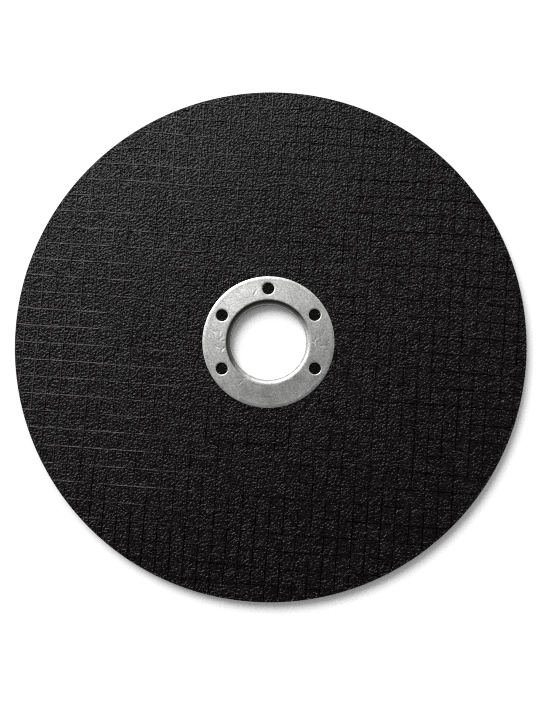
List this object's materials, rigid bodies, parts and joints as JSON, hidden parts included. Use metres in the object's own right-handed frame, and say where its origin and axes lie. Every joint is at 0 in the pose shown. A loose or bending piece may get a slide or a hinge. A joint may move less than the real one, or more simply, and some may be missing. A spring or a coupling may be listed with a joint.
{
  "type": "cut-off wheel",
  "caption": "Flat round cut-off wheel: thin dark mesh-reinforced abrasive disc with a steel centre ring around a plain bore, for cutting metal on an angle grinder.",
  "frame": {"origin": "on the wheel axis, in the plane of the back face that the wheel lies on", "axes": "+Z along the wheel axis, out of the front face with the ring's flange; +Y to the top of the front face; the flange's plain place is at -Y"},
  "size_m": [0.15, 0.15, 0.0035],
  "materials": {
    "abrasive": "coarse moulded grain in black resin, slightly glossy",
    "steel": "satin zinc-grey sheet, lightly scratched"
  },
  "bodies": {
    "root": {"abrasive_disc": "abrasive", "center_ring": "steel"}
  },
  "joints": []
}
